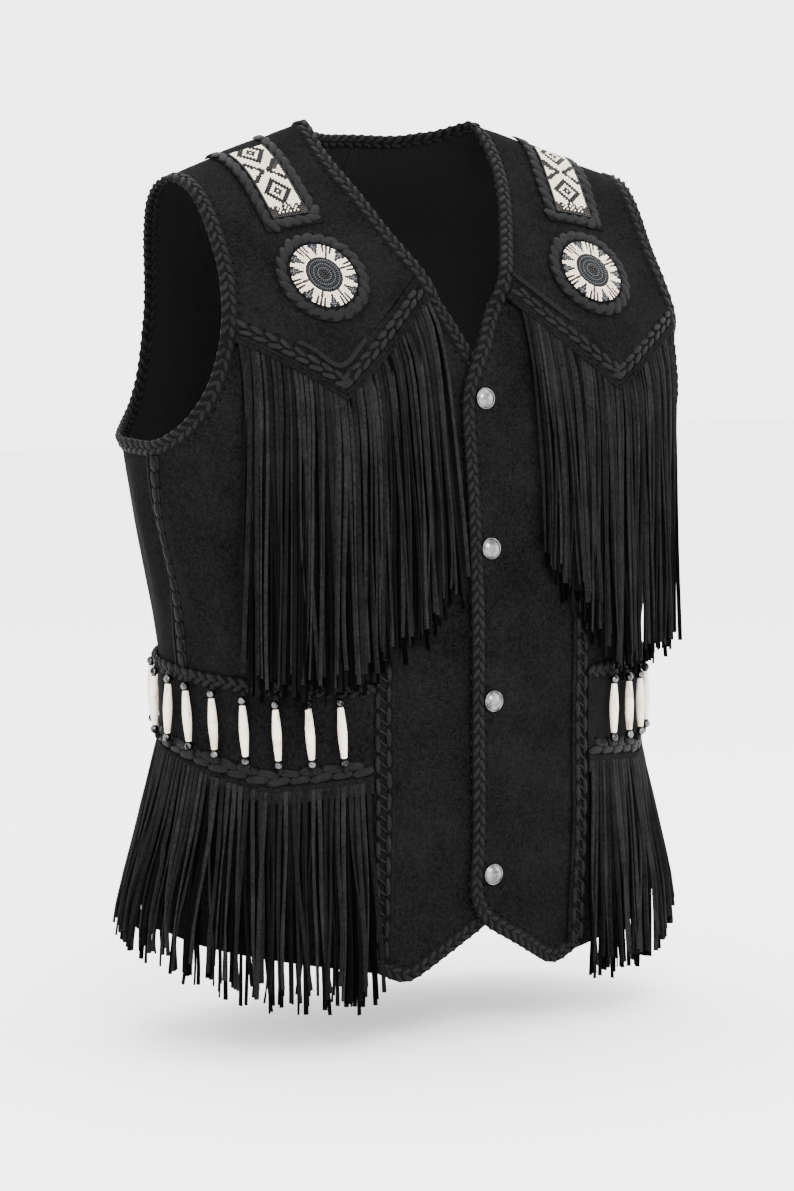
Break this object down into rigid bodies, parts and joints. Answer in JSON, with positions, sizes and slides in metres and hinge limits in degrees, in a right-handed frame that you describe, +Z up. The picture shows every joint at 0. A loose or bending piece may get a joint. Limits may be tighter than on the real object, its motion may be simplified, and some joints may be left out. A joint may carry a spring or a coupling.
{
  "type": "western vest",
  "caption": "Fringed black suede western vest with laced edges, pointed yokes, beaded rosettes and strips, and a bone-trimmed waist band; hollow, as worn.",
  "frame": {"origin": "on the mid-plane, midway between the points where the shoulders meet the neck, where the wearer's shoulders hold it", "axes": "+Z up, +X to the wearer's left, front faces -Y"},
  "size_m": [0.4852, 0.2702, 0.6668],
  "materials": {
    "black_suede": "soft napped suede",
    "black_lacing": "braided leather lace",
    "cream_beads": "rows of small opaque beads",
    "bone": "carved and polished bone",
    "nickel": "polished nickel"
  },
  "bodies": {
    "root": {"front_centre_left": "black_suede", "front_side_left": "black_suede", "back_left": "black_suede", "yoke_left": "black_suede", "lacing_edge_left": "black_lacing", "lacing_armhole_left": "black_lacing", "lacing_princess_left": "black_lacing", "lacing_side_left": "black_lacing", "band_left": "black_lacing", "yoke_fringe_left": "black_suede", "waist_fringe_left": "black_suede", "rosette_left": "cream_beads", "bead_strip_left": "cream_beads", "front_centre_right": "black_suede", "front_side_right": "black_suede", "back_right": "black_suede", "yoke_right": "black_suede", "lacing_edge_right": "black_lacing", "lacing_armhole_right": "black_lacing", "lacing_princess_right": "black_lacing", "lacing_side_right": "black_lacing", "band_right": "black_lacing", "yoke_fringe_right": "black_suede", "waist_fringe_right": "black_suede", "rosette_right": "cream_beads", "bead_strip_right": "cream_beads", "lacing_back_neck": "black_lacing", "snap_1": "nickel", "snap_2": "nickel", "snap_3": "nickel", "snap_4": "nickel", "bone_01": "bone", "bone_02": "bone", "bone_03": "bone", "bone_04": "bone", "bone_05": "bone", "bone_06": "bone", "bone_07": "bone", "bone_08": "bone", "bone_09": "bone", "bone_10": "bone", "bone_11": "bone", "bone_12": "bone", "bone_13": "bone", "bone_14": "bone", "bone_15": "bone", "bone_16": "bone", "bone_17": "bone", "bone_18": "bone", "bone_19": "bone", "bone_20": "bone", "bone_21": "bone", "bone_22": "bone", "bone_23": "bone", "bone_24": "bone", "bone_25": "bone", "bone_26": "bone", "bone_27": "bone", "bone_28": "bone", "bone_29": "bone"}
  },
  "joints": []
}
